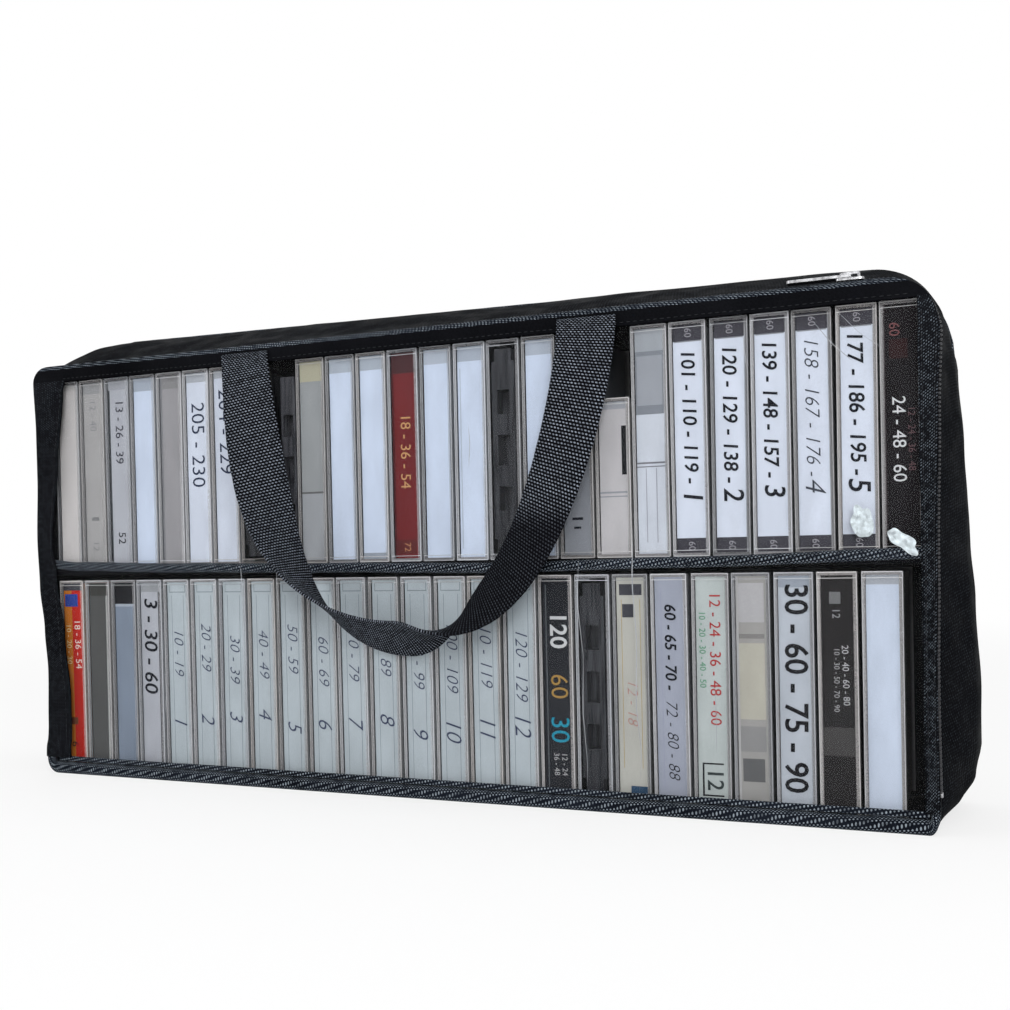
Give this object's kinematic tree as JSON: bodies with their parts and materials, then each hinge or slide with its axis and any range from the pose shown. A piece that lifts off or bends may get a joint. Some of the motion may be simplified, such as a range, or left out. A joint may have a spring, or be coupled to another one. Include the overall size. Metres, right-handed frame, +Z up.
{
  "type": "zippered cassette storage bag",
  "caption": "Soft storage bag for cassette cases in two rows, with a clear fold-down zip window, a shelf and webbing carry handles.",
  "frame": {"origin": "middle of the resting face, under the bag", "axes": "+X along the width to the right seen from the window side, -Y out of the window side, +Z up"},
  "size_m": [0.5012, 0.1357, 0.262],
  "materials": {
    "shell_fabric": "black embossed nonwoven fabric, laminated",
    "binding": "black woven binding, rolled over the edge",
    "border_fabric": "black nonwoven strip, sewn",
    "zip_tape": "black woven zip tape",
    "zip_teeth": "black moulded coil",
    "zip_metal": "bright nickel plate",
    "clear_sheet": "clear soft vinyl, creased",
    "webbing": "black webbing with rows of pale dots",
    "shelf_fabric": "black fabric over a padded board",
    "board": "dark stiffening board",
    "clear_case": "clear polystyrene, scuffed",
    "card": "printed paper card",
    "tape_shell": "moulded cassette shell",
    "tape_hub": "white moulded hub"
  },
  "bodies": {
    "bag": {"gusset_top": "shell_fabric", "gusset_left": "shell_fabric", "gusset_right": "shell_fabric", "base_panel": "shell_fabric", "back_panel": "shell_fabric", "back_piping": "binding", "front_hem": "binding", "shelf_binding": "binding", "body_zip_tape": "zip_tape", "body_zip_teeth": "zip_teeth", "zip_stops": "zip_metal", "shelf_panel": "shelf_fabric", "base_board": "board", "upper_lids": "clear_case", "upper_trays": "clear_case", "lower_lids": "clear_case", "lower_trays": "clear_case", "short_lid": "clear_case", "short_tray": "clear_case", "upper_cards": "card", "lower_cards": "card", "short_card": "card", "upper_tapes": "tape_shell", "lower_tapes": "tape_shell", "bare_tape": "tape_shell", "upper_hubs": "tape_hub", "lower_hubs": "tape_hub", "bare_hubs": "tape_hub"},
    "front_flap": {"flap_window": "clear_sheet", "flap_border_top": "border_fabric", "flap_border_left": "border_fabric", "flap_border_right": "border_fabric", "flap_zip_tape": "zip_tape", "flap_zip_teeth": "zip_teeth"},
    "zip_slider": {"slider_body": "zip_metal", "slider_bridge": "zip_metal"},
    "pull_tab": {"pull_tab": "zip_metal"},
    "front_handle": {"front_strap": "webbing"},
    "rear_handle": {"rear_strap": "webbing"}
  },
  "joints": [
    {"name": "flap_fold", "type": "hinge", "parent": "bag", "child": "front_flap", "pos_m": [0, -0.0379, 0.0074], "axis": [1, 0, 0], "range_deg": [0, 75]},
    {"name": "slider_run", "type": "slide", "parent": "bag", "child": "zip_slider", "axis": [1, 0, 0], "range_m": [-0.442, 0.008]},
    {"name": "tab_flip", "type": "hinge", "parent": "zip_slider", "child": "pull_tab", "pos_m": [0.212, -0.0334, 0.24285], "axis": [0, 1, 0], "range_deg": [0, 180]},
    {"name": "front_handle_swing", "type": "hinge", "parent": "front_flap", "child": "front_handle", "pos_m": [0, -0.0401, 0.236], "axis": [-1, 0, 0], "range_deg": [0, 170]},
    {"name": "rear_handle_swing", "type": "hinge", "parent": "bag", "child": "rear_handle", "pos_m": [0, 0.0392, 0.236], "axis": [1, 0, 0], "range_deg": [0, 170]}
  ]
}
